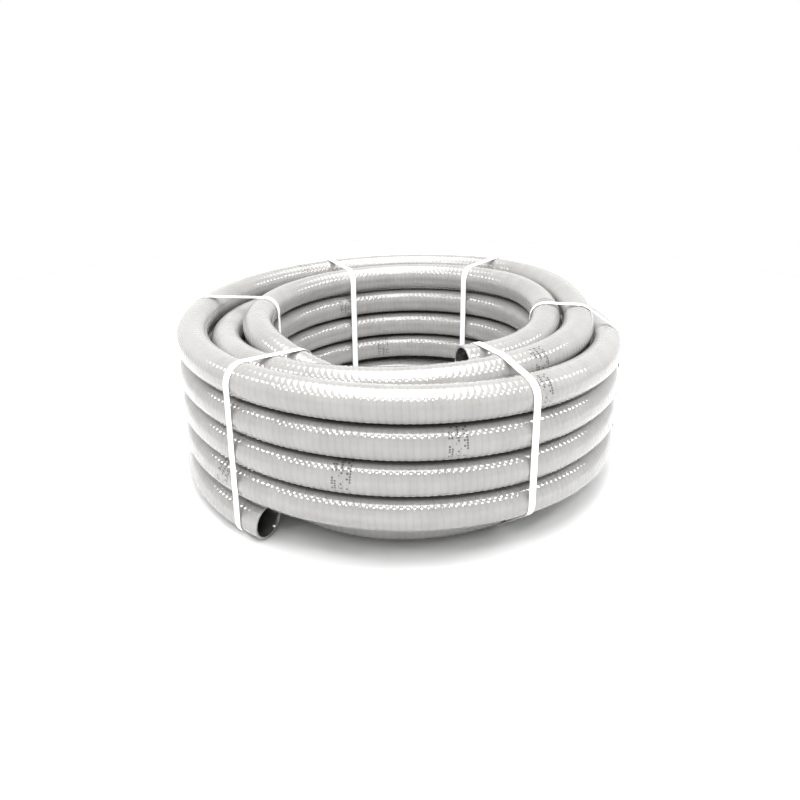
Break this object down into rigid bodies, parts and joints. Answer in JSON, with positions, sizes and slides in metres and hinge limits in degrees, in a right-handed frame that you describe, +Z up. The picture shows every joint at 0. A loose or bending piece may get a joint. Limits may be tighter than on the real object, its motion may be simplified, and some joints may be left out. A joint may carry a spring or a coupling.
{
  "type": "coiled sewer hose",
  "caption": "Long flexible ribbed waste hose wound into a round coil three turns deep, tied with flat plastic straps, both ends cut square and open.",
  "frame": {"origin": "on the floor under the middle of the coil", "axes": "+Z up along the axis of the coil; -Y is the front, where the lower cut end lies"},
  "size_m": [0.7312, 0.7312, 0.2724],
  "materials": {
    "hose": "glossy light grey flexible PVC with fine ribs from a rigid spiral inside the wall",
    "strap": "white polypropylene packing strap with a fine embossed pattern"
  },
  "bodies": {
    "root": {"hose_upper_end": "hose", "hose_turn_01": "hose", "hose_turn_02": "hose", "hose_turn_03": "hose", "hose_turn_04": "hose", "hose_turn_05": "hose", "hose_turn_06": "hose", "hose_turn_07": "hose", "hose_turn_08": "hose", "hose_turn_09": "hose", "hose_turn_10": "hose", "hose_turn_11": "hose", "hose_turn_12": "hose", "hose_turn_13": "hose", "hose_turn_14": "hose", "hose_lower_end": "hose", "strap_1": "strap", "strap_2": "strap", "strap_3": "strap", "strap_4": "strap", "strap_5": "strap", "strap_6": "strap"}
  },
  "joints": []
}
